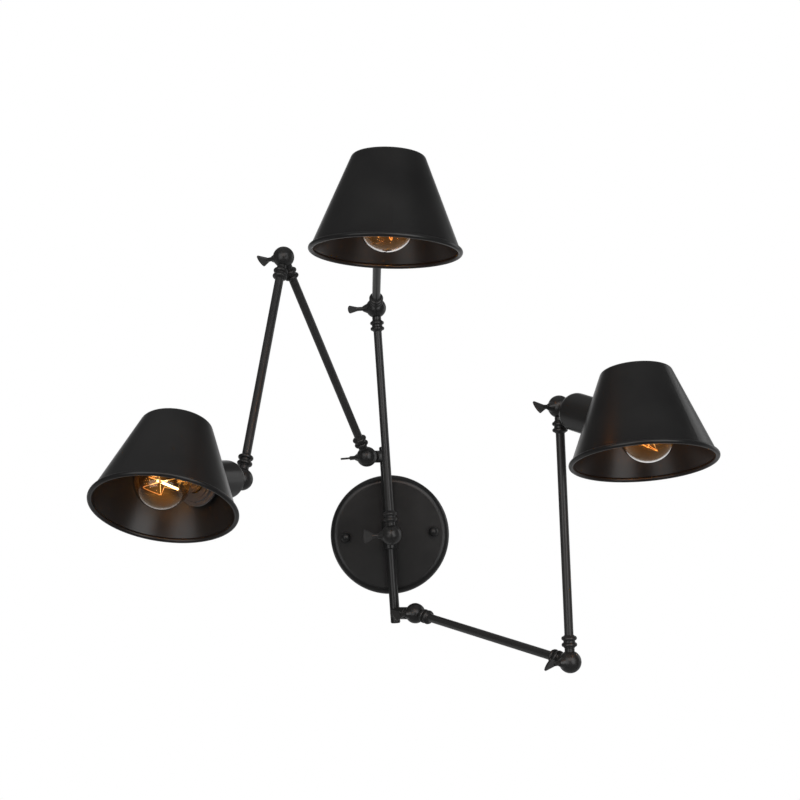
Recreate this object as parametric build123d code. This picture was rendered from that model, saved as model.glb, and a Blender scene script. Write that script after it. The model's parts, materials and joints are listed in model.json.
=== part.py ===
"""Three-head adjustable wall lamp, one STEP file for each named piece.

Frame in millimetres: the wall is the plane Y = 0, the lamp stands out to -Y, Z is up.
The origin is the middle of the backplate's back edge, on the wall.
"""
import os
from dataclasses import dataclass
from math import cos, radians, sin, sqrt

from build123d import *

# Fits, gaps and how a block sits on its place
FIT = 0.05              # radial gap of a turned fit
SPLIT_GAP = 0.3         # gap between the two halves of a ball knuckle
BALL_GAP = 0.4          # gap between a neck and the other half of its ball
LOOSE = 0.6             # radial gap of a piece that is only housed
OVER = 1.0              # how far a cutter runs past the face it cuts
ON_BASE = (Align.CENTER, Align.CENTER, Align.MIN)
UNDER_TOP = (Align.CENTER, Align.CENTER, Align.MAX)
ON_WALL = (Align.CENTER, Align.MAX, Align.CENTER)

# Ball knuckle
BALL_R = 12.5
NECK_R = 5.5
NECK_ROOT = 7.0         # where the neck starts inside the ball
CORE_R = 6.5            # turned collar under its two beads
CORE_START = 16.0
CORE_STEP = 1.0
CORE_END = 28.2
BEAD_R = 2.4
BEAD_RING_R = 6.2
BEADS = (18.8, 25.8)
NECK_END = 29.5         # end face of the collar, where the tube sits
SPIGOT = 9.0            # length of the collar's spigot inside the tube
SEAT_R = 3.2            # small end of the cone under the wing screw
SEAT_ROOT_R = 6.2
SEAT_ROOT = 10.5
SEAT = 16.5             # height of the wing screw's seat above the ball centre

# Wing screw
SCREW_R = 2.0
SCREW_DEPTH = 8.0       # thread length in the far half of the ball
SHOULDER_R = 2.5
SHOULDER_END = 24.0
WING_THICK = 2.4
WING_START = 21.0       # heights of the fan-shaped blade above the ball centre
WING_SIDE_END = 33.0
WING_END = 34.8
WING_START_HALF = 2.6   # half widths of the blade
WING_HALF = 9.2
WING_CORNER = 1.6
WING_EDGE = 0.6

# Arms
ARM = 280.0             # ball centre to ball centre, the same for all six arms
TUBE_R = 5.0
TUBE_WALL = 1.2

# Wall end
PLATE_R = 75.0
PLATE_DEPTH = 22.0
PLATE_WALL = 1.5
PLATE_EDGE_R = 9.0
NUT_X = 55.0            # cap nuts, either side of the middle
NUT_BALL_R = 6.2
NUT_BASE_R = 5.0
NUT_BASE = 3.0
NUT_BALL = 7.2          # middle of the ball in front of the plate
STUD_R = 2.0
STUD_FLANGE_R = 4.5
STUD_FLANGE = 1.2
STUD_IN_NUT = 6.0
BRACKET = (128.0, 24.0, 2.0)
WALL_HOLE_X = 30.0
WALL_HOLE_R = 2.5
CABLE_HOLE_R = 11.0
CABLE_RING_R = 19.0
NIPPLE_R = 5.0
NIPPLE_BORE_R = 3.5
NIPPLE_IN_HUB = 5.0
NIPPLE_PROUD = 2.0      # nipple past its locknut
LOCKNUT_R = 8.5         # over the corners
LOCKNUT = 5.0
TERMINAL = (18.0, 11.0, 13.0)
TERMINAL_Z = 26.0
POLE_X = 4.5
POLE_R = 1.8

# Upright bar
BAR_R = 6.0
BAR_WALL = 1.5
BAR_Y = 35.0            # bar axis in front of the wall
BAR_HALF = 108.0
PLUG = 2.5
PLUG_EDGE = 1.8
PLUG_SPIGOT = 8.0
HUB_R = 9.5
HUB_HALF = 18.0
HUB_FRONT = 14.0        # face of the hub's front boss from the bar axis
HUB_EDGE = 1.5
ROOT_INSET = 10.0       # side roots below and above the ends of the bar
SIDE_Z = BAR_HALF - ROOT_INSET
ROOT_REACH = 36.0       # ball centre to the end of its fixed boss
ROOT_BOSS_R = 7.6
ROOT_BOSS_START = 16.5
ROOT_EDGE = 1.5

# Shade, in its own frame with the rim at height 0
SHADE_R = 76.2
SHADE_TOP_R = 37.3
SHADE_H = 98.0
SHADE_SLOPE = (SHADE_R - SHADE_TOP_R) / SHADE_H
SHADE_CROWN = 3.0
SHADE_WALL = 1.2
SHADE_TOP_EDGE = 5.0
RIM_BEAD_R = 2.6
FINIAL_R = 4.6
FINIAL_H = 3.4
FINIAL_EDGE = 2.4
FINIAL_SHANK = 9.0

# Lampholder cup, which enters the shade through its side; distances along its axis from the ball centre
CUP_DROP = 27.0         # the axis points this far below the shade's level
ENTRY_SHARE = 0.596     # share of the shade's height where the axis meets it
ENTRY_UP = ENTRY_SHARE * SHADE_H
ENTRY_R = SHADE_R - SHADE_SLOPE * ENTRY_UP
ENTRY = 69.6            # where the axis meets the shade
CUP_R = 21.0
CUP_WALL = 1.2
CUP_START = 15.0
CUP_DOME_R = 13.5
CUP_SPIGOT_END = 44.0
RING_R = 28.0           # flange of the ring that holds the shade
RING_FLANGE = ENTRY + SHADE_WALL + ENTRY_R - sqrt(ENTRY_R ** 2 - RING_R ** 2) + LOOSE
RING_THICK = 3.5
RING_FLANGE_END = RING_FLANGE + RING_THICK
RING_NOSE = 2.0
RING_NOSE_R = 22.5
RING_END = RING_FLANGE_END + RING_NOSE
RING_EDGE = 1.0
RING_NECK = 3.0         # from the cup's mouth to the ring's flange
CUP_END = RING_FLANGE - RING_NECK
HOLDER_R = CUP_R - CUP_WALL - LOOSE
HOLDER_START = 31.0
HOLDER_EDGE = 3.0
SKIRT_PROUD = 1.0       # threaded skirt past its ring
HOLDER_END = RING_END + SKIRT_PROUD

# Bulb
SOCKET_DEPTH = 22.9
BULB_SEAT = HOLDER_END - SOCKET_DEPTH
CAP_TIP_R = 4.5
CAP_TIP = 2.0
CAP_SKIRT = 6.0         # where the screw shell begins above the seat
CAP_R = 13.0
CAP_LENGTH = 25.0
CAP_GROOVE = 0.7
CAP_TURNS = 5
GLOBE_R = 30.0
GLOBE_RISE = 75.0       # middle of the globe above the seat of its cap
GLOBE_X = BULB_SEAT + GLOBE_RISE
GLOBE_WALL = 0.8
GLOBE_JOIN = 130.0      # angle from the tip where the globe runs into its neck
GLASS_NECK_R = 12.6
GLASS_FLARE = 0.12      # slope of the glass where it leaves the cap


@dataclass(frozen=True)
class Chain:
    """One jointed chain of the lamp, with its photographed pose in degrees."""

    name: str
    azimuth: float          # from straight ahead, to the right
    root_z: float
    root_start: float       # end of the fixed boss from the bar axis
    arm1: float             # elevations
    arm2: float
    tilt: float             # how far the shade's mouth is turned up to the front
    roll: float             # turn of the cup on its neck
    wings: tuple            # turn of each wing from upright: root, elbow, head


CHAINS = (
    Chain("top", 3.1, 0.0, HUB_FRONT, 90.0, 19.3, 2.8, -6.6, (0.0, 54.0, 30.0)),
    Chain("left", -30.5, SIDE_Z, BAR_R + FIT, 56.6, -67.0, 27.0, 7.0, (88.0, -51.0, 60.0)),
    Chain("right", 37.0, -SIDE_Z, BAR_R + FIT, -10.7, 87.3, 9.7, -10.0, (35.0, -43.0, 39.0)),
)


def ahead(chain):
    """Level direction of a chain, away from the bar."""
    angle = radians(chain.azimuth)
    return Vector(sin(angle), -cos(angle), 0)


def axis_of(chain):
    """Axis of all hinges in a chain; a positive turn raises the arm."""
    return ahead(chain).cross(Vector(0, 0, 1))


def heading(chain, elevation):
    """Direction in a chain's plane at an elevation."""
    angle = radians(elevation)
    return ahead(chain) * cos(angle) + Vector(0, 0, 1) * sin(angle)


def joint_points(chain):
    """Ball centres of the root, elbow and head knuckles."""
    root = Vector(0, -BAR_Y, chain.root_z) + ahead(chain) * (chain.root_start + ROOT_REACH)
    elbow = root + heading(chain, chain.arm1) * ARM
    head = elbow + heading(chain, chain.arm2) * ARM
    return root, elbow, head


def seat(point, along, axis):
    """Location with its X along a neck and its Z along a hinge axis."""
    return Plane(origin=point, x_dir=along, z_dir=axis).location


def lathe(*points):
    """Solid turned about X from (x, radius) points; the ends close on the axis."""
    first, last = points[0], points[-1]
    outline = Polyline((first[0], 0), *points, (last[0], 0), close=True)
    return revolve(make_face(outline), Axis.X)


def rod(start, end, radius):
    """Round bar along X."""
    return lathe((start, radius), (end, radius))


def upright(start, end, radius):
    """Round bar along Z."""
    return Pos(0, 0, start) * Cylinder(radius, end - start, align=ON_BASE)


def across(start, end, radius):
    """Round bar along -Y, from one distance off the wall to another."""
    return Rot(90, 0, 0) * upright(start, end, radius)


def half_ball(neck):
    """Upper half of a knuckle ball with a neck that is cut clear of the lower half."""
    size = 2 * (BALL_R + BALL_GAP + OVER)
    lower = Pos(0, 0, SPLIT_GAP / 2) * Box(size, size, size, align=UNDER_TOP)
    dome = Sphere(BALL_R) - lower
    room = Sphere(BALL_R + BALL_GAP) & lower
    return dome + (neck - room)


def arm_neck():
    """Beaded collar and spigot that join a ball to a tube."""
    neck = lathe(
        (NECK_ROOT, NECK_R), (CORE_START - CORE_STEP, NECK_R), (CORE_START, CORE_R), (CORE_END, CORE_R),
        (NECK_END, TUBE_R))
    neck += rod(NECK_END, NECK_END + SPIGOT, TUBE_R - TUBE_WALL - FIT)
    for place in BEADS:
        neck += Pos(place, 0, 0) * Rot(0, 90, 0) * Torus(BEAD_RING_R, BEAD_R)
    return neck


def wing_half(neck):
    """Half of a ball on the wing screw's side."""
    cone = Pos(0, 0, SEAT_ROOT) * Cone(SEAT_ROOT_R, SEAT_R, SEAT - SEAT_ROOT, align=ON_BASE)
    return half_ball(neck) + cone - upright(-OVER, SEAT + OVER, SCREW_R + FIT)


def thread_half(neck):
    """Half of a ball that takes the screw's thread."""
    return half_ball(neck) - upright(-OVER, SCREW_DEPTH + OVER, SCREW_R + FIT)


def root_half(chain):
    """Fixed half of a root knuckle with its boss, its X pointing back to the bar."""
    end = ROOT_REACH
    if chain.root_z:
        end += BAR_R
    neck = rod(NECK_ROOT, end, NECK_R)
    boss = rod(ROOT_BOSS_START, end, ROOT_BOSS_R)
    neck += fillet(boss.edges().group_by(Axis.X)[0], ROOT_EDGE)
    half = thread_half(neck)
    if chain.root_z:
        bar = Rot(90, 0, 0) * Cylinder(BAR_R + FIT, 4 * ROOT_BOSS_R)
        half -= Pos(ROOT_REACH + chain.root_start, 0, 0) * bar
    return half


def head_half():
    """Wing side half of a head knuckle with the threaded nipple of its cup."""
    neck = lathe(
        (NECK_ROOT, NECK_R), (CUP_START - CORE_STEP, NECK_R), (CUP_START - CORE_STEP, CORE_R),
        (CUP_START, CORE_R), (CUP_START, NIPPLE_R), (CUP_SPIGOT_END, NIPPLE_R))
    return wing_half(neck)


def wing_screw():
    """Thumb screw along Z with a fan-shaped blade across X."""
    screw = upright(-SCREW_DEPTH, SEAT, SCREW_R) + upright(SEAT, SHOULDER_END, SHOULDER_R)
    sides = Polyline(
        (WING_HALF, WING_SIDE_END), (WING_START_HALF, WING_START), (-WING_START_HALF, WING_START),
        (-WING_HALF, WING_SIDE_END))
    crown = ThreePointArc((-WING_HALF, WING_SIDE_END), (0, WING_END), (WING_HALF, WING_SIDE_END))
    fan = make_face(sides.edges() + crown.edges())
    fan = fillet(fan.vertices().group_by(Axis.Y)[-1], WING_CORNER)
    blade = extrude(Plane.XZ * fan, WING_THICK / 2, both=True)
    rims = [edge for edge in blade.edges() if abs(abs(edge.center().Y) - WING_THICK / 2) < WING_EDGE / 4]
    return screw + chamfer(rims, WING_EDGE)


def tube():
    """Arm tube along X between two collars, from the middle of its first ball."""
    bore = rod(NECK_END - OVER, ARM - NECK_END + OVER, TUBE_R - TUBE_WALL)
    return rod(NECK_END, ARM - NECK_END, TUBE_R) - bore


def shade_frame():
    """Shade's frame inside a head's frame: Z up its axis, origin at the rim's middle."""
    angle = radians(CUP_DROP)
    level = Vector(cos(angle), sin(angle), 0)
    up = Vector(-sin(angle), cos(angle), 0)
    ball_back = ENTRY_R + ENTRY * cos(angle)
    ball_up = ENTRY_UP + ENTRY * sin(angle)
    return Plane(origin=level * ball_back - up * ball_up, x_dir=level, z_dir=up).location


def top_circle(body):
    """Highest round edge of a body turned about Z."""
    return body.edges().filter_by(GeomType.CIRCLE).group_by(Axis.Z)[-1]


def shade():
    """Conical shade with a rolled rim and the hole for its cup, in the head's frame."""
    inner_r = SHADE_R - SHADE_WALL
    inner_top = SHADE_H - SHADE_WALL
    crown = SHADE_H + SHADE_CROWN
    outer = make_face(Plane.XZ * Polyline(
        (0, 0), (SHADE_R, 0), (SHADE_TOP_R, SHADE_H), (0, crown), close=True))
    inner = make_face(Plane.XZ * Polyline(
        (0, -OVER), (inner_r + SHADE_SLOPE * OVER, -OVER), (inner_r - SHADE_SLOPE * inner_top, inner_top),
        (0, crown - SHADE_WALL), close=True))
    body = revolve(outer, Axis.Z)
    hollow = revolve(inner, Axis.Z)
    body = fillet(top_circle(body), SHADE_TOP_EDGE)
    hollow = fillet(top_circle(hollow), SHADE_TOP_EDGE - SHADE_WALL)
    cone = body - hollow - upright(SHADE_H - SHADE_WALL, crown + OVER, SCREW_R + FIT)
    cone += Torus(SHADE_R - SHADE_WALL / 2, RIM_BEAD_R)
    return shade_frame() * cone - rod(CUP_START, CUP_END + LOOSE, CUP_R + FIT)


def finial():
    """Small dome screw in the middle of the shade's top, in the head's frame."""
    crown = SHADE_H + SHADE_CROWN
    dome = upright(crown, crown + FINIAL_H, FINIAL_R)
    dome = fillet(dome.edges().group_by(Axis.Z)[-1], FINIAL_EDGE)
    return shade_frame() * (dome + upright(crown - FINIAL_SHANK, crown, SCREW_R))


def cup_body(radius, dome_r, start):
    """Solid of revolution of the cup's outside or inside, with a domed rear."""
    body = rod(start, CUP_END, radius)
    return fillet(body.edges().group_by(Axis.X)[0], dome_r)


def cup():
    """Lampholder cup, open to the shade."""
    hollow = cup_body(CUP_R - CUP_WALL, CUP_DOME_R - CUP_WALL, CUP_START + CUP_WALL)
    return cup_body(CUP_R, CUP_DOME_R, CUP_START) - hollow - rod(0, CUP_SPIGOT_END, NIPPLE_R + FIT)


def lampholder():
    """Insulating holder inside the cup, with the socket of the bulb."""
    body = rod(HOLDER_START, HOLDER_END, HOLDER_R)
    body = chamfer(body.edges().group_by(Axis.X)[0], HOLDER_EDGE)
    body -= rod(0, CUP_SPIGOT_END + OVER, NIPPLE_R + FIT)
    return body - rod(BULB_SEAT, HOLDER_END + OVER, CAP_R + LOOSE)


def shade_ring():
    """Flanged ring on the holder's skirt, seated on the mouth of the cup."""
    body = lathe(
        (CUP_END, CUP_R), (RING_FLANGE, CUP_R), (RING_FLANGE, RING_R),
        (RING_FLANGE_END - RING_EDGE, RING_R), (RING_FLANGE_END, RING_R - RING_EDGE),
        (RING_FLANGE_END, RING_NOSE_R + RING_EDGE), (RING_END, RING_NOSE_R))
    return body - rod(CUP_START, RING_END + OVER, HOLDER_R + FIT)


def bulb_cap():
    """Screw cap of the bulb with its contact and rolled thread."""
    start = BULB_SEAT + CAP_SKIRT
    pitch = (CAP_LENGTH - CAP_SKIRT) / (CAP_TURNS + 1)
    points = [(BULB_SEAT, CAP_TIP_R), (BULB_SEAT + CAP_TIP, CAP_TIP_R), (start, CAP_R - CAP_GROOVE)]
    for turn in range(CAP_TURNS):
        crest = start + pitch * (turn + 0.5)
        points += [(crest - pitch / 5, CAP_R), (crest + pitch / 5, CAP_R)]
        points.append((crest + pitch / 2, CAP_R - CAP_GROOVE))
    points.append((BULB_SEAT + CAP_LENGTH, CAP_R - CAP_GROOVE))
    return lathe(*points)


def globe_body(inset):
    """Solid of the bulb's glass, or of its inside when inset by the wall."""
    radius = GLOBE_R - inset
    start = BULB_SEAT + CAP_LENGTH
    angle = radians(GLOBE_JOIN)
    join = (GLOBE_X + radius * cos(angle), radius * sin(angle))
    tip = (GLOBE_X + radius, 0)
    half = radians(GLOBE_JOIN / 2)
    middle = (GLOBE_X + radius * cos(half), radius * sin(half))
    outline = Line((start, 0), (start, GLASS_NECK_R - inset))
    outline += Spline(
        (start, GLASS_NECK_R - inset), join, tangents=[(1, GLASS_FLARE), (sin(angle), -cos(angle))])
    outline += ThreePointArc(join, middle, tip)
    outline += Line(tip, (start, 0))
    return revolve(make_face(outline), Axis.X)


def bulb_glass():
    """Hollow glass of the bulb."""
    return globe_body(0) - globe_body(GLOBE_WALL)


def wall_bracket():
    """Strip screwed to the wall, with holes for two screws and the cable."""
    width, height, thick = BRACKET
    strip = Box(width, thick, height, align=ON_WALL)
    strip += across(0, thick, CABLE_RING_R)
    tab_end = TERMINAL_Z + TERMINAL[1] / 2
    strip += Pos(0, 0, tab_end / 2) * Box(TERMINAL[0], thick, tab_end, align=ON_WALL)
    strip -= across(-OVER, thick + OVER, CABLE_HOLE_R)
    for side in (-1, 1):
        strip -= Pos(side * WALL_HOLE_X, 0, 0) * across(-OVER, thick + OVER, WALL_HOLE_R)
    return strip


def pair(shape):
    """Two copies of a shape, either side of the middle at the cap nuts."""
    return Compound([Pos(side * NUT_X, 0, 0) * shape for side in (-1, 1)])


def stud():
    """Stud on the bracket that carries the backplate."""
    start = BRACKET[2]
    shank = across(start, PLATE_DEPTH + STUD_IN_NUT, STUD_R)
    return across(start, start + STUD_FLANGE, STUD_FLANGE_R) + shank


def cap_nut():
    """Ball cap nut on the face of the backplate."""
    middle = PLATE_DEPTH + NUT_BALL
    nut = across(PLATE_DEPTH, PLATE_DEPTH + NUT_BASE, NUT_BASE_R)
    nut += Pos(0, -middle, 0) * Sphere(NUT_BALL_R)
    return nut - across(PLATE_DEPTH - OVER, PLATE_DEPTH + STUD_IN_NUT + OVER, STUD_R + FIT)


def backplate():
    """Round dished cover on the wall."""
    def dish(radius, depth, edge):
        body = across(0, depth, radius)
        return fillet(body.edges().group_by(Axis.Y)[0], edge)

    plate = dish(PLATE_R, PLATE_DEPTH, PLATE_EDGE_R)
    plate -= dish(PLATE_R - PLATE_WALL, PLATE_DEPTH - PLATE_WALL, PLATE_EDGE_R - PLATE_WALL)
    plate -= across(0, PLATE_DEPTH + OVER, NIPPLE_R + FIT)
    for side in (-1, 1):
        plate -= Pos(side * NUT_X, 0, 0) * across(0, PLATE_DEPTH + OVER, STUD_R + FIT)
    return plate


def hub_nipple():
    """Hollow threaded nipple from the hub through the backplate."""
    start = PLATE_DEPTH - PLATE_WALL - LOCKNUT - NIPPLE_PROUD
    end = PLATE_DEPTH + NIPPLE_IN_HUB
    return across(start, end, NIPPLE_R) - across(start - OVER, end + OVER, NIPPLE_BORE_R)


def hub_locknut():
    """Hexagon nut on the nipple, behind the face of the backplate."""
    face = Plane.XZ * (RegularPolygon(LOCKNUT_R, 6) - Circle(NIPPLE_R + FIT))
    return Pos(0, -(PLATE_DEPTH - PLATE_WALL - LOCKNUT), 0) * extrude(face, LOCKNUT)


def hub_collar(chain):
    """Sleeve of the bar with a rear boss on the plate and a front boss for the middle root."""
    sleeve = upright(-HUB_HALF, HUB_HALF, HUB_R)
    sleeve = fillet(sleeve.edges().filter_by(GeomType.CIRCLE), HUB_EDGE)
    hub = Pos(0, -BAR_Y, 0) * sleeve + across(PLATE_DEPTH, BAR_Y, HUB_R)
    front = Plane(origin=(0, -BAR_Y, 0), x_dir=ahead(chain), z_dir=(0, 0, 1)).location
    hub += front * rod(0, HUB_FRONT, HUB_R)
    hub -= Pos(0, -BAR_Y, 0) * upright(-2 * HUB_HALF, 2 * HUB_HALF, BAR_R + FIT)
    return hub - across(PLATE_DEPTH - OVER, PLATE_DEPTH + NIPPLE_IN_HUB + FIT, NIPPLE_R + FIT)


def main_bar():
    """Upright tube that carries the three roots."""
    bar = upright(-BAR_HALF, BAR_HALF, BAR_R) - upright(-2 * BAR_HALF, 2 * BAR_HALF, BAR_R - BAR_WALL)
    return Pos(0, -BAR_Y, 0) * bar


def bar_plug():
    """Domed plug in the upper end of the bar."""
    head = upright(BAR_HALF, BAR_HALF + PLUG, BAR_R)
    head = fillet(head.edges().group_by(Axis.Z)[-1], PLUG_EDGE)
    return head + upright(BAR_HALF - PLUG_SPIGOT, BAR_HALF, BAR_R - BAR_WALL - FIT)


def bar_plugs():
    """Both plugs of the bar."""
    upper = bar_plug()
    return Pos(0, -BAR_Y, 0) * Compound([upper, Rot(180, 0, 0) * upper])


def terminal_block():
    """Two-pole connector on the bracket's tab."""
    width, height, depth = TERMINAL
    back = BRACKET[2]
    block = Pos(0, -back, TERMINAL_Z) * Box(width, depth, height, align=ON_WALL)
    for side in (-1, 1):
        block -= Pos(side * POLE_X, -(back + depth / 2), TERMINAL_Z) * Cylinder(POLE_R, 2 * height)
        block -= Pos(side * POLE_X, 0, TERMINAL_Z) * across(back + depth / 2, back + depth + OVER, POLE_R)
    return block


def wall_pieces():
    """Every fixed piece that is not a root knuckle."""
    return {
        "wall_bracket": wall_bracket(),
        "bracket_studs": pair(stud()),
        "terminal_block": terminal_block(),
        "backplate": backplate(),
        "cap_nuts": pair(cap_nut()),
        "hub_nipple": hub_nipple(),
        "hub_locknut": hub_locknut(),
        "hub_collar": hub_collar(CHAINS[0]),
        "main_bar": main_bar(),
        "bar_plugs": bar_plugs(),
    }


def arm_pieces(label, start, end, axis):
    """Tube and both knuckle halves of one arm."""
    along = (end - start).normalized()
    neck = arm_neck()
    near = seat(start, along, axis)
    far = seat(end, along * -1, axis * -1)
    return {
        label + "_tube": near * tube(),
        label + "_knuckles": Compound([near * wing_half(neck), far * thread_half(neck)]),
    }


def head_pieces(chain, point, axis):
    """Knuckle half, cup, holder, bulb and shade of one head."""
    frame = seat(point, heading(chain, chain.tilt - CUP_DROP), axis)
    turned = frame * Rot(chain.roll, 0, 0)
    return {
        "head_knuckle": frame * head_half(),
        "cup": turned * cup(),
        "lampholder": turned * lampholder(),
        "shade_ring": turned * shade_ring(),
        "shade": turned * shade(),
        "shade_finial": turned * finial(),
        "bulb_cap": turned * bulb_cap(),
        "bulb_glass": turned * bulb_glass(),
    }


def chain_pieces(chain):
    """Every piece of one chain, from its fixed root to its bulb."""
    axis = axis_of(chain)
    root, elbow, head = joint_points(chain)
    pieces = {"root_knuckle": seat(root, ahead(chain) * -1, axis * -1) * root_half(chain)}
    pieces.update(arm_pieces("arm1", root, elbow, axis))
    pieces.update(arm_pieces("arm2", elbow, head, axis))
    pieces.update(head_pieces(chain, head, axis))
    screw = wing_screw()
    for label, point, turn in zip(("root", "elbow", "head"), (root, elbow, head), chain.wings):
        pieces[label + "_wing_screw"] = seat(point, Vector(0, 0, 1), axis) * Rot(0, 0, turn) * screw
    return {chain.name + "_" + name: shape for name, shape in pieces.items()}


def main():
    """Build every piece and write its file."""
    os.makedirs("parts", exist_ok=True)
    pieces = wall_pieces()
    for chain in CHAINS:
        pieces.update(chain_pieces(chain))
    for name, shape in pieces.items():
        export_step(shape, "parts/" + name + ".step")


if __name__ == "__main__":
    main()
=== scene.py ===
"""Looks of the three-head adjustable wall lamp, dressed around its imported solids.

Metres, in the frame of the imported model: the wall is the plane Y = 0, the lamp stands out to -Y, Z is up.
"""

import json
import logging
import math
from dataclasses import dataclass
from enum import Enum
from functools import cache

import bpy
from mathutils import Matrix, Vector


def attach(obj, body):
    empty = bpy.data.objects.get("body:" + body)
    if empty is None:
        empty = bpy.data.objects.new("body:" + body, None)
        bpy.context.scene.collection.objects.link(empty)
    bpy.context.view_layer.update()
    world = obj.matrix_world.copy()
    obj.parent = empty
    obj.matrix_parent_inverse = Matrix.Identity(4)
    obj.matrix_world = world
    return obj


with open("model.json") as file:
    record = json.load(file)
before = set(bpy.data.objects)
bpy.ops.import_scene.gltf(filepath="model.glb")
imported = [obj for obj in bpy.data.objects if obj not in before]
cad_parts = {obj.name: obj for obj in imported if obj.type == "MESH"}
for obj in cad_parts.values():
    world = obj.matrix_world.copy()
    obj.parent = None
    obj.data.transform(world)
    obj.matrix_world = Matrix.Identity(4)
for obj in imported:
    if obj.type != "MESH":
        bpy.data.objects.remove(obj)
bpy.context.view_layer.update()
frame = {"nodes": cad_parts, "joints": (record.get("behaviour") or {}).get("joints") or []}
log = logging.getLogger("wall_lamp")

MM = 0.001
UP = Vector((0, 0, 1))
SMOOTH_TURNED = math.radians(40)
SMOOTH_WIRE = math.radians(50)
Colour = tuple[float, float, float]
Point = tuple[float, float, float]
Span = tuple[float, float]
Socket = bpy.types.NodeSocket
BLACK: Colour = (0, 0, 0)
WHITE: Colour = (1, 1, 1)


class Side(Enum):
    """Chain of the lamp, by the place of its shade."""

    TOP = "top"
    LEFT = "left"
    RIGHT = "right"


class Burn(Enum):
    """How brightly a bulb burns."""

    EMBER = "ember"
    BRIGHT = "bright"


class Tree:
    """A node tree that is filled one node at a time."""

    def __init__(self, tree: bpy.types.NodeTree) -> None:
        """Take over a tree and empty it.

        Args:
            tree: node tree of a material, a world or a group.
        """
        self.tree = tree
        self.tree.nodes.clear()

    def add(self, kind: str, inputs: dict | None = None, **settings: object) -> bpy.types.Node:
        """Add a node, set it up and link its inputs.

        Args:
            kind: type name of the node.
            inputs: values or output sockets by the name or number of the input.
            settings: properties of the node itself.

        Returns:
            The new node.
        """
        node = self.tree.nodes.new(kind)
        for name, value in settings.items():
            setattr(node, name, value)
        for key, value in (inputs or {}).items():
            if isinstance(value, Socket):
                self.tree.links.new(value, node.inputs[key])
            else:
                node.inputs[key].default_value = value
        return node

    def place(self) -> Socket:
        """The piece's own coordinates, in metres."""
        return self.add("ShaderNodeTexCoord").outputs["Object"]

    def noise(self, vector: Socket, scale: Socket | float, detail: float, rough: float) -> Socket:
        """Noise over a vector.

        Args:
            vector: coordinates, in metres.
            scale: waves per metre.
            detail: octaves.
            rough: strength of each octave against the one before.

        Returns:
            The value of the noise.
        """
        inputs = {"Vector": vector, "Scale": scale, "Detail": detail, "Roughness": rough}
        return self.add("ShaderNodeTexNoise", inputs).outputs["Fac"]

    def remap(self, value: Socket, span: Span, to: Span = (0.0, 1.0)) -> Socket:
        """Stretch a value from one range to another, held at the ends.

        Args:
            value: value to stretch.
            span: its range.
            to: the new range.

        Returns:
            The stretched value.
        """
        inputs = {"Value": value, "From Min": span[0], "From Max": span[1], "To Min": to[0], "To Max": to[1]}
        return self.add("ShaderNodeMapRange", inputs).outputs["Result"]

    def larger(self, first: Socket, second: Socket) -> Socket:
        """The larger of two values."""
        return self.add("ShaderNodeMath", {0: first, 1: second}, operation="MAXIMUM").outputs["Value"]

    def mix(self, share: Socket, first: Socket, second: Socket) -> Socket:
        """Mix of two shaders, all the first at a share of 0 and all the second at 1."""
        return self.add("ShaderNodeMixShader", {0: share, 1: first, 2: second}).outputs["Shader"]

    def blend(self, mask: Socket, first: Colour, second: Colour) -> Socket:
        """Mix two colours by a mask.

        Args:
            mask: 0 for the first colour, 1 for the second.
            first: linear colour.
            second: linear colour.

        Returns:
            The mixed colour.
        """
        inputs = {0: mask, 6: (*first, 1), 7: (*second, 1)}
        return self.add("ShaderNodeMix", inputs, data_type="RGBA").outputs[2]

    def bump(self, height: Socket, strength: float, depth: float) -> Socket:
        """Normals of a surface with fine relief.

        Args:
            height: the relief, from 0 to 1.
            strength: how much of it shows.
            depth: its depth, in metres.

        Returns:
            The bent normal.
        """
        inputs = {"Height": height, "Strength": strength, "Distance": depth}
        return self.add("ShaderNodeBump", inputs).outputs["Normal"]

    def halo(self, centre: Vector, radius: float) -> Socket:
        """Value that falls from 1 at a point to 0 at a distance from it.

        Args:
            centre: middle of the halo.
            radius: where it ends.

        Returns:
            The falling value.
        """
        scale = 1 / radius
        inputs = {"Vector": self.place(), "Location": -centre * scale, "Scale": (scale, scale, scale)}
        vector = self.add("ShaderNodeMapping", inputs).outputs["Vector"]
        ball = self.add("ShaderNodeTexGradient", {"Vector": vector}, gradient_type="SPHERICAL")
        return ball.outputs["Fac"]


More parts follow.
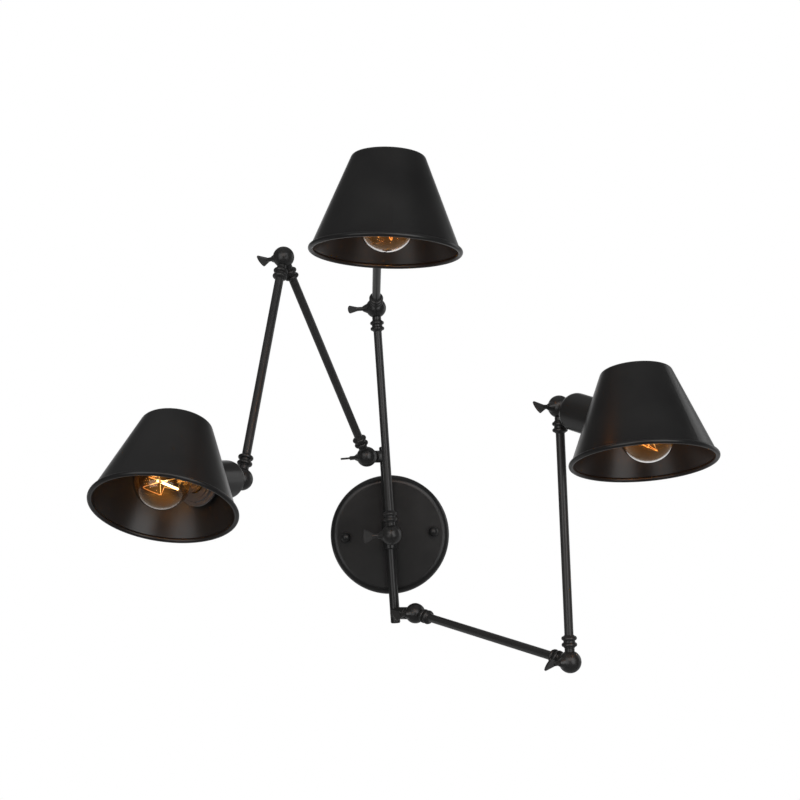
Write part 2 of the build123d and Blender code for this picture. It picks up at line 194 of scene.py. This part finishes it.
class Effects:
    """Surface effects that several finishes share, each built once as a node group."""

    @staticmethod
    def start(name: str, inputs: list[str], outputs: list[str]) -> tuple[Tree, dict, bpy.types.Node]:
        """Open a new group.

        Args:
            name: name of the group.
            inputs: names of its number inputs, after the vector.
            outputs: names of its number outputs.

        Returns:
            Its tree, its inputs by name and its output node.
        """
        group = bpy.data.node_groups.new(name, "ShaderNodeTree")
        group.interface.new_socket("Vector", in_out="INPUT", socket_type="NodeSocketVector")
        for label in inputs:
            group.interface.new_socket(label, in_out="INPUT", socket_type="NodeSocketFloat")
        for label in outputs:
            group.interface.new_socket(label, in_out="OUTPUT", socket_type="NodeSocketFloat")
        tree = Tree(group)
        entry = {socket.name: socket for socket in tree.add("NodeGroupInput").outputs if socket.name}
        return tree, entry, tree.add("NodeGroupOutput")

    @staticmethod
    @cache
    def sprayed_skin() -> bpy.types.NodeTree:
        """Fine pebbled skin of a sprayed coat with slow clouds in its gloss.

        Returns:
            The group, with outputs Height and Clouds.
        """
        tree, entry, leave = Effects.start("sprayed_skin", ["Grain", "Cloud"], ["Height", "Clouds"])
        pebbles = tree.noise(entry["Vector"], entry["Grain"], detail=3.0, rough=0.6)
        clouds = tree.noise(entry["Vector"], entry["Cloud"], detail=4.0, rough=0.5)
        tree.tree.links.new(pebbles, leave.inputs["Height"])
        tree.tree.links.new(clouds, leave.inputs["Clouds"])
        return tree.tree

    @staticmethod
    @cache
    def drawn_lines() -> bpy.types.NodeTree:
        """Fine lines along the first axis, as on rolled or brushed metal, and stains.

        Returns:
            The group, with outputs Lines and Stains.
        """
        tree, entry, leave = Effects.start("drawn_lines", ["Lines", "Stretch"], ["Lines", "Stains"])
        stretch = tree.add("ShaderNodeCombineXYZ", {"X": entry["Stretch"], "Y": 1.0, "Z": 1.0})
        inputs = {"Vector": entry["Vector"], "Scale": stretch.outputs["Vector"]}
        vector = tree.add("ShaderNodeMapping", inputs).outputs["Vector"]
        lines = tree.noise(vector, entry["Lines"], detail=5.0, rough=0.7)
        stains = tree.noise(entry["Vector"], scale=90.0, detail=3.0, rough=0.55)
        tree.tree.links.new(lines, leave.inputs["Lines"])
        tree.tree.links.new(stains, leave.inputs["Stains"])
        return tree.tree


@dataclass(frozen=True)
class Finish:
    """What every finish has."""

    name: str

    def material(self) -> bpy.types.Material:
        """Build the material once, and give the same one after that.

        Returns:
            The material of this finish.
        """
        known = bpy.data.materials.get(self.name)
        if known:
            return known
        made = bpy.data.materials.new(self.name)
        made.use_nodes = True
        tree = Tree(made.node_tree)
        tree.add("ShaderNodeOutputMaterial", {"Surface": self.shader(tree)})
        return made

    def shader(self, tree: Tree) -> Socket:
        """Build the finish's shader.

        Args:
            tree: node tree of the material.

        Returns:
            The shader's output.
        """
        raise NotImplementedError

    def effect(self, tree: Tree, group: bpy.types.NodeTree, **values: float) -> bpy.types.Node:
        """Place a shared effect on the piece's own coordinates.

        Args:
            tree: node tree of the material.
            group: the effect.
            values: the effect's numbers.

        Returns:
            The group's node.
        """
        return tree.add("ShaderNodeGroup", {"Vector": tree.place(), **values}, node_tree=group)


@dataclass(frozen=True)
class SprayedCoat(Finish):
    """Satin sprayed coat on metal, or the skin of a moulded plastic."""

    dark: Colour
    light: Colour
    rough: Span
    bump: float = 0.12
    bump_depth: float = 0.15 * MM
    grain: float = 1500.0
    cloud: float = 22.0
    tone_span: Span = (0.3, 0.7)
    rough_span: Span = (0.25, 0.75)

    def shader(self, tree: Tree) -> Socket:
        """Build the coat's shader.

        Args:
            tree: node tree of the material.

        Returns:
            The shader's output.
        """
        skin = self.effect(tree, Effects.sprayed_skin(), Grain=self.grain, Cloud=self.cloud).outputs
        inputs = {
            "Base Color": tree.blend(tree.remap(skin["Clouds"], self.tone_span), self.dark, self.light),
            "Roughness": tree.remap(skin["Clouds"], self.rough_span, self.rough),
            "Normal": tree.bump(skin["Height"], self.bump, self.bump_depth)}
        return tree.add("ShaderNodeBsdfPrincipled", inputs).outputs["BSDF"]


@dataclass(frozen=True)
class RolledMetal(Finish):
    """Bare rolled or plated metal with fine lines and stains."""

    clean: Colour
    stained: Colour
    rough: Span
    lines: float = 2600.0
    stretch: float = 0.06
    stain_span: Span = (0.4, 0.7)
    line_span: Span = (0.3, 0.7)
    bump: float = 0.1
    bump_depth: float = 0.05 * MM

    def shader(self, tree: Tree) -> Socket:
        """Build the metal's shader.

        Args:
            tree: node tree of the material.

        Returns:
            The shader's output.
        """
        marks = self.effect(tree, Effects.drawn_lines(), Lines=self.lines, Stretch=self.stretch).outputs
        inputs = {
            "Base Color": tree.blend(tree.remap(marks["Stains"], self.stain_span), self.clean, self.stained),
            "Roughness": tree.remap(marks["Lines"], self.line_span, self.rough),
            "Normal": tree.bump(marks["Lines"], self.bump, self.bump_depth),
            "Metallic": 1.0}
        return tree.add("ShaderNodeBsdfPrincipled", inputs).outputs["BSDF"]


@dataclass(frozen=True)
class TintedGlass(Finish):
    """Thin blown glass with a glossy edge that lets its bulb's light through, and can carry a painted glow.
    """

    thin: Colour
    thick: Colour
    rim: float
    # The next four fields paint a glow into the glass: amber light emitted round a point, standing in for
    # the filament's light caught in the glass
    painted_glow: Colour = BLACK
    painted_glow_strength: float = 0.0
    glow_centre: Point = (0, 0, 0)
    painted_glow_reach: float = 0.03
    rough: Span = (0.005, 0.03)
    cloud_span: Span = (0.3, 0.7)
    edge_span: Span = (0.6, 0.78)
    grain: float = 300.0
    cloud: float = 45.0
    ior: float = 1.46

    def shader(self, tree: Tree) -> Socket:
        """Build the glass's shader.

        Args:
            tree: node tree of the material.

        Returns:
            The shader's output.
        """
        skin = self.effect(tree, Effects.sprayed_skin(), Grain=self.grain, Cloud=self.cloud).outputs
        inputs = {
            "Base Color": tree.blend(tree.remap(skin["Clouds"], self.cloud_span), self.thin, self.thick),
            "Roughness": tree.remap(skin["Clouds"], self.cloud_span, self.rough),
            "IOR": self.ior, "Transmission Weight": 1.0}
        # Painted glow: emission in the glass itself, brightest at the glow centre
        if self.painted_glow_strength:
            halo = tree.halo(Vector(self.glow_centre), self.painted_glow_reach)
            inputs["Emission Color"] = tree.blend(halo, BLACK, self.painted_glow)
            inputs["Emission Strength"] = self.painted_glow_strength
        glass = tree.add("ShaderNodeBsdfPrincipled", inputs).outputs["BSDF"]
        facing = tree.add("ShaderNodeLayerWeight", {"Blend": 0.5}).outputs["Facing"]
        gloss = tree.add("ShaderNodeBsdfGlossy", {"Roughness": 0.0}).outputs["BSDF"]
        shell = tree.mix(tree.remap(facing, self.edge_span, (0.0, self.rim)), glass, gloss)
        shadow = tree.add("ShaderNodeLightPath").outputs["Is Shadow Ray"]
        clear = tree.add("ShaderNodeBsdfTransparent", {"Color": (*self.thin, 1)}).outputs["BSDF"]
        return tree.mix(shadow, shell, clear)


@dataclass(frozen=True)
class Heat:
    """Glow of a wire: its colour far from the hottest point and there, its strength and the heat's reach."""

    cool: Colour
    hot: Colour
    strength: float
    reach: float


@dataclass(frozen=True)
class GlowingWire(Finish):
    """Filament wire that is hottest near one point."""

    heat: Heat
    centre: Point
    dark: Colour = (0.10, 0.055, 0.02)
    light: Colour = (0.24, 0.12, 0.04)
    rough: float = 0.4
    lines: float = 3000.0
    stretch: float = 0.2

    def shader(self, tree: Tree) -> Socket:
        """Build the wire's shader.

        Args:
            tree: node tree of the material.

        Returns:
            The shader's output.
        """
        marks = self.effect(tree, Effects.drawn_lines(), Lines=self.lines, Stretch=self.stretch).outputs
        halo = tree.halo(Vector(self.centre), self.heat.reach)
        inputs = {
            "Base Color": tree.blend(marks["Lines"], self.dark, self.light), "Roughness": self.rough,
            "Emission Color": tree.blend(halo, self.heat.cool, self.heat.hot),
            "Emission Strength": self.heat.strength}
        return tree.add("ShaderNodeBsdfPrincipled", inputs).outputs["BSDF"]


@dataclass(frozen=True)
class PaleFloor(Finish):
    """Matt floor that fades into the white room and is dimmer in satin reflections than to the eye."""

    paint: Colour = (0.86, 0.86, 0.86)
    fade_radius: float = 1.4
    fade_span: Span = (0.0, 0.5)
    depth_span: Span = (-0.6, 1.2)
    sheen: Span = (0.08, 0.4)

    def shader(self, tree: Tree) -> Socket:
        """Build the floor's shader.

        Args:
            tree: node tree of the material.

        Returns:
            The shader's output.
        """
        solid = tree.remap(tree.halo(Vector((0, 0, 0)), self.fade_radius), self.fade_span)
        paint = tree.add("ShaderNodeBsdfDiffuse", {"Color": (*self.paint, 1)}).outputs["BSDF"]
        white = tree.add("ShaderNodeEmission", {"Color": (*WHITE, 1), "Strength": 1.0}).outputs["Emission"]
        seen = tree.mix(solid, white, paint)
        depth = tree.add("ShaderNodeSeparateXYZ", {"Vector": tree.place()}).outputs["Y"]
        path = tree.add("ShaderNodeLightPath").outputs
        strength = tree.larger(tree.remap(depth, self.depth_span, self.sheen), path["Is Singular Ray"])
        sheen = tree.add("ShaderNodeEmission", {"Color": (*WHITE, 1), "Strength": strength})
        mirrored = tree.larger(path["Is Glossy Ray"], path["Is Transmission Ray"])
        return tree.mix(mirrored, seen, sheen.outputs["Emission"])


# The shades' and plate's coat, and lighter copies of it on fittings, tubes and wing screws as painted light
SATIN = (0.27, 0.35)
BLACK_COAT = SprayedCoat("satin_black_coat", (0.0055, 0.0055, 0.0057), (0.009, 0.009, 0.0089), SATIN)
FITTINGS_PAINTED_LIGHTER = SprayedCoat("fittings_painted_lighter", (0.0125, 0.0125, 0.0125), (0.0165, 0.0165, 0.0163), SATIN)
ARMS_PAINTED_LIGHTER = SprayedCoat("arms_painted_lighter", (0.0185, 0.0185, 0.0186), (0.0235, 0.0235, 0.0233), SATIN)
DARK_PLASTIC = SprayedCoat(
    "dark_moulded_plastic", (0.044, 0.047, 0.051), (0.058, 0.062, 0.067), (0.16, 0.26), bump=0.05)
WHITE_PLASTIC = SprayedCoat(
    "white_moulded_plastic", (0.72, 0.72, 0.69), (0.78, 0.78, 0.75), (0.35, 0.5), bump=0.06)
ZINC = RolledMetal("zinc_plated_steel", (0.58, 0.58, 0.57), (0.46, 0.46, 0.44), (0.28, 0.46))
BRASS = RolledMetal("rolled_cap_brass", (0.66, 0.54, 0.31), (0.48, 0.37, 0.2), (0.25, 0.42))
NICKEL = RolledMetal("nickel_support_wire", (0.5, 0.48, 0.44), (0.36, 0.33, 0.28), (0.3, 0.45))
CLEAR_GLASS = TintedGlass("clear_stem_glass", (0.95, 0.94, 0.9), (0.9, 0.88, 0.82), rim=0.0)
PALE_FLOOR = PaleFloor("pale_floor")


@dataclass(frozen=True)
class BulbLook:
    """How a bulb looks that burns in one way."""

    thin: Colour
    thick: Colour
    rim: float
    # Strength and reach of the glow painted into the bulb's glass round the filament
    painted_glow_strength: float
    painted_glow_reach: float
    wire: Heat
    watts: float
    coil: Heat | None = None
    # Colour of the glow painted into the glass
    painted_glow: Colour = (1.0, 0.47, 0.09)
    light: Colour = (1.0, 0.48, 0.17)


LOOKS = {
    Burn.EMBER: BulbLook(
        thin=(0.94, 0.8, 0.58), thick=(0.9, 0.7, 0.44), rim=0.95, painted_glow_strength=0.028, painted_glow_reach=50 * MM,
        wire=Heat((1.0, 0.4, 0.08), (1.0, 0.5, 0.15), 1.2, 30 * MM), watts=0.26),
    Burn.BRIGHT: BulbLook(
        thin=(0.94, 0.82, 0.62), thick=(0.9, 0.74, 0.5), rim=0.3, painted_glow_strength=0.3, painted_glow_reach=25 * MM,
        wire=Heat((0.3, 0.11, 0.016), (1.0, 0.56, 0.17), 1.9, 20 * MM), watts=0.15,
        coil=Heat((1.0, 0.62, 0.24), (1.0, 0.8, 0.48), 9.0, 30 * MM)),
}


class Bench:
    """Modelling steps that the new pieces share."""

    @staticmethod
    def clear() -> None:
        """Leave edit mode and deselect everything."""
        active = bpy.context.view_layer.objects.active
        if active and active.mode != "OBJECT":
            bpy.ops.object.mode_set(mode="OBJECT")
        bpy.ops.object.select_all(action="DESELECT")

    @staticmethod
    def turned(name: str, profile: list[Span], segments: int) -> bpy.types.Object:
        """Turn a closed piece about Z by extruding a disc from ring to ring.

        Args:
            name: name of the piece.
            profile: height and radius of each ring, in metres.
            segments: corners of each ring.

        Returns:
            The piece, standing on the world's Z axis.
        """
        Bench.clear()
        height, radius = profile[0]
        bpy.ops.mesh.primitive_circle_add(
            vertices=segments, radius=radius, fill_type="NGON", location=(0, 0, height))
        piece = bpy.context.view_layer.objects.active
        bpy.ops.object.transform_apply(location=True, rotation=True, scale=True)
        bpy.ops.object.mode_set(mode="EDIT")
        bpy.ops.mesh.select_all(action="SELECT")
        for next_height, next_radius in profile[1:]:
            bpy.ops.mesh.extrude_region_move(TRANSFORM_OT_translate={"value": (0, 0, next_height - height)})
            ratio = next_radius / radius
            bpy.ops.transform.resize(value=(ratio, ratio, 1), center_override=(0, 0, next_height))
            height, radius = next_height, next_radius
        bpy.ops.mesh.select_all(action="SELECT")
        bpy.ops.mesh.normals_make_consistent(inside=False)
        bpy.ops.object.mode_set(mode="OBJECT")
        bpy.ops.object.shade_smooth_by_angle(angle=SMOOTH_TURNED)
        piece.name = name
        return piece

    @staticmethod
    def wire(name: str, paths: list[list[Vector]], radius: float, soft: bool) -> bpy.types.Object:
        """Draw round wires along rows of points as one mesh.

        Args:
            name: name of the piece.
            paths: points of each wire.
            radius: radius of the wire.
            soft: whether the corners are rounded.

        Returns:
            The piece.
        """
        Bench.clear()
        bpy.ops.curve.primitive_nurbs_path_add()
        piece = bpy.context.view_layer.objects.active
        piece.data.splines.clear()
        for points in paths:
            spline = piece.data.splines.new("NURBS" if soft else "POLY")
            spline.points.add(len(points) - 1)
            for point, place in zip(spline.points, points):
                point.co = (*place, 1)
            if soft:
                spline.order_u = 3
                spline.use_endpoint_u = True
        piece.data.bevel_depth = radius
        piece.data.bevel_resolution = 2
        piece.data.resolution_u = 6
        piece.data.use_fill_caps = True
        bpy.ops.object.convert(target="MESH")
        piece = bpy.context.view_layer.objects.active
        bpy.ops.object.shade_smooth_by_angle(angle=SMOOTH_WIRE)
        piece.name = name
        return piece

    @staticmethod
    def place(piece: bpy.types.Object, matrix: Matrix) -> None:
        """Put a piece in its place with the place in its mesh.

        Args:
            piece: the new piece.
            matrix: from the piece's own frame to the lamp's frame.
        """
        Bench.clear()
        piece.select_set(True)
        bpy.context.view_layer.objects.active = piece
        piece.matrix_world = matrix
        bpy.ops.object.transform_apply(location=True, rotation=True, scale=True)

    @staticmethod
    def dress(piece: bpy.types.Object, finish: Finish) -> None:
        """Give a piece one finish all over.

        Args:
            piece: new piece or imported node.
            finish: its finish.
        """
        piece.data.materials.clear()
        piece.data.materials.append(finish.material())
        log.info("%s wears %s", piece.name, finish.name)

    @staticmethod
    def light(name: str, kind: str, place: Point | Vector, watts: float, colour: Colour) -> bpy.types.Object:
        """Add a light that the camera doesn't see.

        Args:
            name: name of the light.
            kind: Blender's name for its type.
            place: where it stands.
            watts: its power.
            colour: its colour.

        Returns:
            The light.
        """
        Bench.clear()
        bpy.ops.object.light_add(type=kind, location=place)
        light = bpy.context.view_layer.objects.active
        light.name = name
        light.data.energy = watts
        light.data.color = colour
        light.visible_camera = False
        return light


@dataclass
class WallEnd:
    """Backplate, bar and everything fixed to the wall."""

    painted: tuple[str, ...] = ("backplate", "cap_nuts", "hub_collar", "main_bar", "bar_plugs")
    plated: tuple[str, ...] = ("wall_bracket", "bracket_studs", "hub_nipple", "hub_locknut")
    moulded: tuple[str, ...] = ("terminal_block",)

    def dress(self) -> None:
        """Dress the fixed nodes."""
        groups = ((self.painted, BLACK_COAT), (self.plated, ZINC), (self.moulded, WHITE_PLASTIC))
        for names, finish in groups:
            for name in names:
                Bench.dress(frame["nodes"][name], finish)


@dataclass
class Chain:
    """Arms, knuckles and wing screws of one chain."""

    side: Side
    cast: tuple[str, ...] = ("root_knuckle", "arm1_knuckles", "arm2_knuckles", "head_knuckle")
    drawn: tuple[str, ...] = (
        "arm1_tube", "arm2_tube", "root_wing_screw", "elbow_wing_screw", "head_wing_screw")

    def dress(self) -> None:
        """Dress the chain's nodes."""
        # Same black paint as the shades, painted lighter on these pieces to stand in for the light they
        # catch
        for names, finish in ((self.cast, FITTINGS_PAINTED_LIGHTER), (self.drawn, ARMS_PAINTED_LIGHTER)):
            for name in names:
                Bench.dress(frame["nodes"][self.side.value + "_" + name], finish)


# Anchors of a filament, in millimetres and degrees: height on the cup's axis, radius, angle round it
FOOT = (112.0, 9.5)
CROWN = (152.0, 15.0)
ANCHOR_COUNT = 13
FIRST_ANGLE = 20
ANGLE_STEP = 27
EVEN_CAGE = tuple(
    (*(CROWN if run % 2 else FOOT), FIRST_ANGLE + ANGLE_STEP * run) for run in range(ANCHOR_COUNT))
LOOSE_CAGE = (
    (*FOOT, 200.0), (*CROWN, 20.0), (148.0, 15.0, 110.0), (130.0, 7.0, 60.0), (*FOOT, 95.0),
    (146.0, 12.0, 335.0), (*FOOT, 300.0), (*CROWN, 250.0))


@dataclass
class Head:
    """Shade, holder and bulb of one chain.

    Distances run along the cup's axis from the knuckle's ball. The shade is tilted up by tilt degrees, and
    the cup's axis lies cup_drop degrees below that.
    """

    side: Side
    tilt: float
    burn: Burn
    anchors: tuple[Point, ...]
    cup_drop: float = 27.0
    globe: float = 138.0 * MM
    stem: tuple[Span, ...] = (
        (88.3, 10.5), (91, 9.0), (95, 5.4), (99, 3.9), (106, 3.6), (109, 4.2), (111, 3.0), (112.5, 1.2),
        (139, 1.1), (140.2, 2.0), (141.6, 2.0), (142.4, 1.0))
    stem_sides: int = 24
    low_hub: float = 110.0 * MM
    high_hub: float = 141.0 * MM
    hub_split: float = 125.0 * MM
    hub_r: float = 1.2 * MM
    support_r: float = 0.2 * MM
    support_bend: float = 0.6
    support_rise: float = 0.8 * MM
    hook_half: float = 0.9 * MM
    wire_r: float = 0.22 * MM
    coil_r: float = 1.2 * MM
    hot_run: int = 4
    hot_shares: tuple[float, ...] = (0.04, 0.38, 0.72)
    light_ahead: float = 12 * MM
    light_r: float = 8 * MM

    def joint(self) -> dict:
        """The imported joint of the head's knuckle."""
        return next(j for j in frame["joints"] if j["name"] == self.side.value + "_head_hinge")

    def matrix(self) -> Matrix:
        """Frame of the cup: Z along its axis, origin in the knuckle's ball.

        Returns:
            From that frame to the lamp's frame.
        """
        joint = self.joint()
        hinge = Vector(joint["axis"])
        ahead = UP.cross(hinge)
        angle = math.radians(self.tilt - self.cup_drop)
        axis = ahead * math.cos(angle) + UP * math.sin(angle)
        turn = Matrix((hinge, axis.cross(hinge), axis)).transposed()
        return Matrix.Translation(Vector(joint["pos_m"])) @ turn.to_4x4()

    def cage(self) -> list[Vector]:
        """Points of the cup's frame where supports hold the filament.

        Returns:
            The points in the order of the wire.
        """
        points = []
        for height, radius, degrees in self.anchors:
            angle = math.radians(degrees)
            points.append(Vector((radius * math.cos(angle), radius * math.sin(angle), height)) * MM)
        return points

    def hot_point(self, share: float) -> Vector:
        """Point on the run of the filament that burns brightest, in the cup's frame."""
        cage = self.cage()
        return cage[self.hot_run].lerp(cage[self.hot_run + 1], share)

    def glow_centre(self) -> Point:
        """Where the bulb glows most: the middle of its hot run, or of its globe.

        Returns:
            A point in the lamp's frame.
        """
        centre = self.hot_point(0.5) if LOOKS[self.burn].coil else Vector((0, 0, self.globe))
        return tuple(self.matrix() @ centre)

    def support(self, point: Vector) -> list[Vector]:
        """Wire from the nearer hub of the stem to an anchor.

        Args:
            point: the anchor.

        Returns:
            The wire's start, its raised middle and its end.
        """
        hub = Vector((0, 0, self.high_hub if point.z > self.hub_split else self.low_hub))
        start = hub + (point - hub).normalized() * self.hub_r
        return [start, hub.lerp(point, self.support_bend) + UP * self.support_rise, point]

    def hook(self, point: Vector) -> list[Vector]:
        """Bend of the filament round an anchor.

        Args:
            point: the anchor.

        Returns:
            Three points across the anchor.
        """
        tangent = UP.cross(Vector((point.x, point.y, 0)).normalized()) * self.hook_half
        return [point - tangent, point, point + tangent]

    def build(self) -> None:
        """Model the inside of the bulb and hang it on the head's body."""
        name = self.side.value
        look = LOOKS[self.burn]
        centre = self.glow_centre()
        cage = self.cage()
        profile = [(height * MM, radius * MM) for height, radius in self.stem]
        stem = Bench.turned(name + "_bulb_stem", profile, self.stem_sides)
        rows = [self.support(point) for point in cage]
        supports = Bench.wire(name + "_bulb_supports", rows, self.support_r, True)
        bends = [bend for point in cage for bend in self.hook(point)]
        filament = Bench.wire(name + "_bulb_filament", [bends], self.wire_r, True)
        glowing = GlowingWire(name + "_filament_" + self.burn.value, look.wire, centre)
        pieces = [
            (stem, CLEAR_GLASS, "amber_glass"),
            (supports, NICKEL, "cap_metal"),
            (filament, glowing, "cap_metal"),
        ]
        if look.coil:
            run = [self.hot_point(share) for share in self.hot_shares]
            coil = Bench.wire(name + "_bulb_hot_coil", [run], self.coil_r, False)
            pieces.append((coil, GlowingWire(name + "_white_heat", look.coil, centre), "cap_metal"))
        matrix = self.matrix()
        for piece, finish, slot in pieces:
            Bench.place(piece, matrix)
            Bench.dress(piece, finish)
            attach(piece, name + "_head")

    def dress(self) -> None:
        """Dress the head's nodes and light its bulb."""
        name = self.side.value
        look = LOOKS[self.burn]
        # The glass carries the bulb's painted glow
        glass = TintedGlass(
            name + "_amber_glass", look.thin, look.thick, look.rim, look.painted_glow, look.painted_glow_strength,
            self.glow_centre(), look.painted_glow_reach)
        # Cups wear the fitting coat that is painted lighter for the light it catches
        finishes = {
            "cup": FITTINGS_PAINTED_LIGHTER, "shade": BLACK_COAT, "shade_finial": BLACK_COAT, "lampholder": DARK_PLASTIC,
            "shade_ring": DARK_PLASTIC, "bulb_cap": BRASS, "bulb_glass": glass}
        for piece, finish in finishes.items():
            Bench.dress(frame["nodes"][name + "_" + piece], finish)
        place = self.matrix() @ Vector((0, 0, self.globe + self.light_ahead))
        light = Bench.light(name + "_bulb_light", "POINT", place, look.watts, look.light)
        light.data.shadow_soft_size = self.light_r
        light.visible_transmission = False
        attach(light, name + "_head")


@dataclass(frozen=True)
class Softbox:
    """Flat soft light of the studio."""

    name: str
    place: Point
    size: Span
    watts: float
    target: Point = (0, -0.35, 0.1)
    colour: Colour = WHITE
    mirrored: bool = True

    def build(self) -> None:
        """Hang the light and turn it to its target."""
        light = Bench.light(self.name, "AREA", self.place, self.watts, self.colour)
        light.data.shape = "RECTANGLE"
        light.data.size, light.data.size_y = self.size
        light.visible_glossy = self.mirrored
        aim = Vector(self.target) - Vector(self.place)
        light.rotation_euler = aim.to_track_quat("-Z", "Y").to_euler()


# Place and size in metres, power in watts
SOFTBOXES = (
    Softbox("left_softbox", (-1.27, -2.39, 0.5), (1.5, 2.8), 18.5),
    Softbox("right_softbox", (1.27, -2.39, 0.5), (1.5, 2.8), 26.0),
    Softbox("front_softbox", (0.0, -2.47, 1.1), (1.1, 1.0), 8.0, colour=(1.0, 0.84, 0.77)),
    Softbox("side_softbox", (2.0, 0.9, 0.4), (0.9, 1.6), 4.5),
    Softbox("top_softbox", (0.0, -0.2, 1.7), (2.4, 2.4), 9.0, target=(0, -0.2, 0.0), mirrored=False),
)


@dataclass
class Studio:
    """White room, soft lights and the photograph's camera."""

    camera_place: Point = (24.514 * MM, -2141.31 * MM, 18.681 * MM)
    pitch: float = 4.0488
    roll: float = 3.9307
    focal_px: float = 1675.48
    frame_px: float = 800.0
    sensor: float = 36.0
    floor_place: Point = (0, -0.3, -0.9)
    floor_r: float = 6.0
    back_span: Span = (0.8, 1.0)
    above_span: Span = (0.6, 0.95)
    front_light: Span = (0.1, 0.27)

    def camera(self) -> None:
        """Set up the camera."""
        Bench.clear()
        bpy.ops.object.camera_add(location=self.camera_place)
        camera = bpy.context.view_layer.objects.active
        camera.name = "photo_camera"
        pitch, roll = math.radians(self.pitch), math.radians(self.roll)
        forward = Vector((0, math.cos(pitch), math.sin(pitch)))
        level_up = Vector((0, -math.sin(pitch), math.cos(pitch)))
        level_right = Vector((1, 0, 0))
        right = level_right * math.cos(roll) - level_up * math.sin(roll)
        upward = level_right * math.sin(roll) + level_up * math.cos(roll)
        turn = Matrix((right, upward, -forward)).transposed().to_4x4()
        camera.matrix_world = Matrix.Translation(Vector(self.camera_place)) @ turn
        camera.data.sensor_width = self.sensor
        camera.data.lens = self.focal_px / self.frame_px * self.sensor
        bpy.context.scene.camera = camera

    def room(self) -> None:
        """White surroundings, darker on the camera's side."""
        world = bpy.data.worlds.new("studio_room")
        world.use_nodes = True
        bpy.context.scene.world = world
        tree = Tree(world.node_tree)
        way = tree.add("ShaderNodeTexCoord").outputs["Generated"]
        parts = tree.add("ShaderNodeSeparateXYZ", {"Vector": way}).outputs
        back = tree.remap(parts["Y"], self.back_span)
        front = tree.remap(parts["Z"], self.above_span, self.front_light)
        seen = tree.add("ShaderNodeLightPath").outputs["Is Camera Ray"]
        strength = tree.larger(tree.larger(back, front), seen)
        light = tree.add("ShaderNodeBackground", {"Color": (*WHITE, 1), "Strength": strength})
        tree.add("ShaderNodeOutputWorld", {"Surface": light.outputs["Background"]})

    def floor(self) -> None:
        """Pale floor below the lamp that fades into the white room."""
        Bench.clear()
        bpy.ops.mesh.primitive_circle_add(
            vertices=64, radius=self.floor_r, fill_type="NGON", location=self.floor_place)
        floor = bpy.context.view_layer.objects.active
        floor.name = "pale_floor"
        Bench.dress(floor, PALE_FLOOR)

    def build(self) -> None:
        """Set up everything around the lamp."""
        bpy.context.scene.view_settings.view_transform = "Standard"
        self.camera()
        self.room()
        self.floor()
        for softbox in SOFTBOXES:
            softbox.build()


def main() -> None:
    """Build and dress every sub-assembly in order, then light the scene."""
    logging.basicConfig(level=logging.INFO, format="%(name)s: %(message)s")
    WallEnd().dress()
    for side in Side:
        Chain(side).dress()
    heads = (
        Head(Side.TOP, tilt=2.8, burn=Burn.EMBER, anchors=EVEN_CAGE),
        Head(Side.LEFT, tilt=27.0, burn=Burn.BRIGHT, anchors=LOOSE_CAGE),
        Head(Side.RIGHT, tilt=9.7, burn=Burn.EMBER, anchors=EVEN_CAGE),
    )
    for head in heads:
        head.build()
        head.dress()
    Studio().build()


if __name__ == "__main__":
    main()
